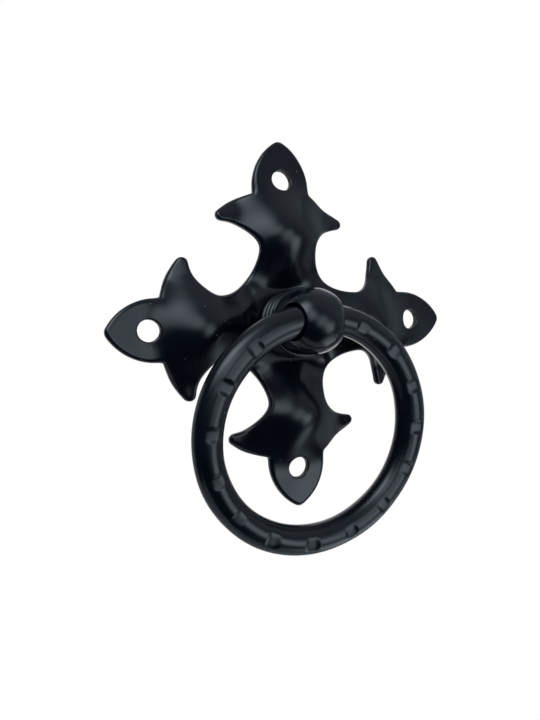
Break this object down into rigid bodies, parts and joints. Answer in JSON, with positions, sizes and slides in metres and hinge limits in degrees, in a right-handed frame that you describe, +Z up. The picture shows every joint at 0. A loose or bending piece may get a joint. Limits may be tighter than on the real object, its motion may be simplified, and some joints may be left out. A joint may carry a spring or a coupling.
{
  "type": "drop pull",
  "caption": "Black ring drop pull: pressed fleur-de-lys cross plate with screw holes, a sprung ball-topped swivel post, and a nicked round-bar ring hanging from its cross bore.",
  "frame": {"origin": "Centre of the plate, on the plane of the door that it is screwed to", "axes": "+Z up the door, +X to the right seen from the front, +Y into the door, so the front looks to -Y"},
  "size_m": [0.102, 0.0277, 0.1136],
  "materials": {
    "black_paint": "satin black paint over steel"
  },
  "bodies": {
    "plate": {"backplate": "black_paint", "spring": "black_paint"},
    "post": {"ring_post": "black_paint"},
    "ring": {"pull_ring": "black_paint"}
  },
  "joints": [
    {"name": "post_swivel", "type": "hinge", "parent": "plate", "child": "post", "pos_m": [0, 0, 0], "axis": [0, -1, 0], "continuous": true},
    {"name": "ring_swing", "type": "hinge", "parent": "post", "child": "ring", "pos_m": [0, -0.0208, 0], "axis": [-1, 0, 0], "range_deg": [-6, 205]}
  ]
}
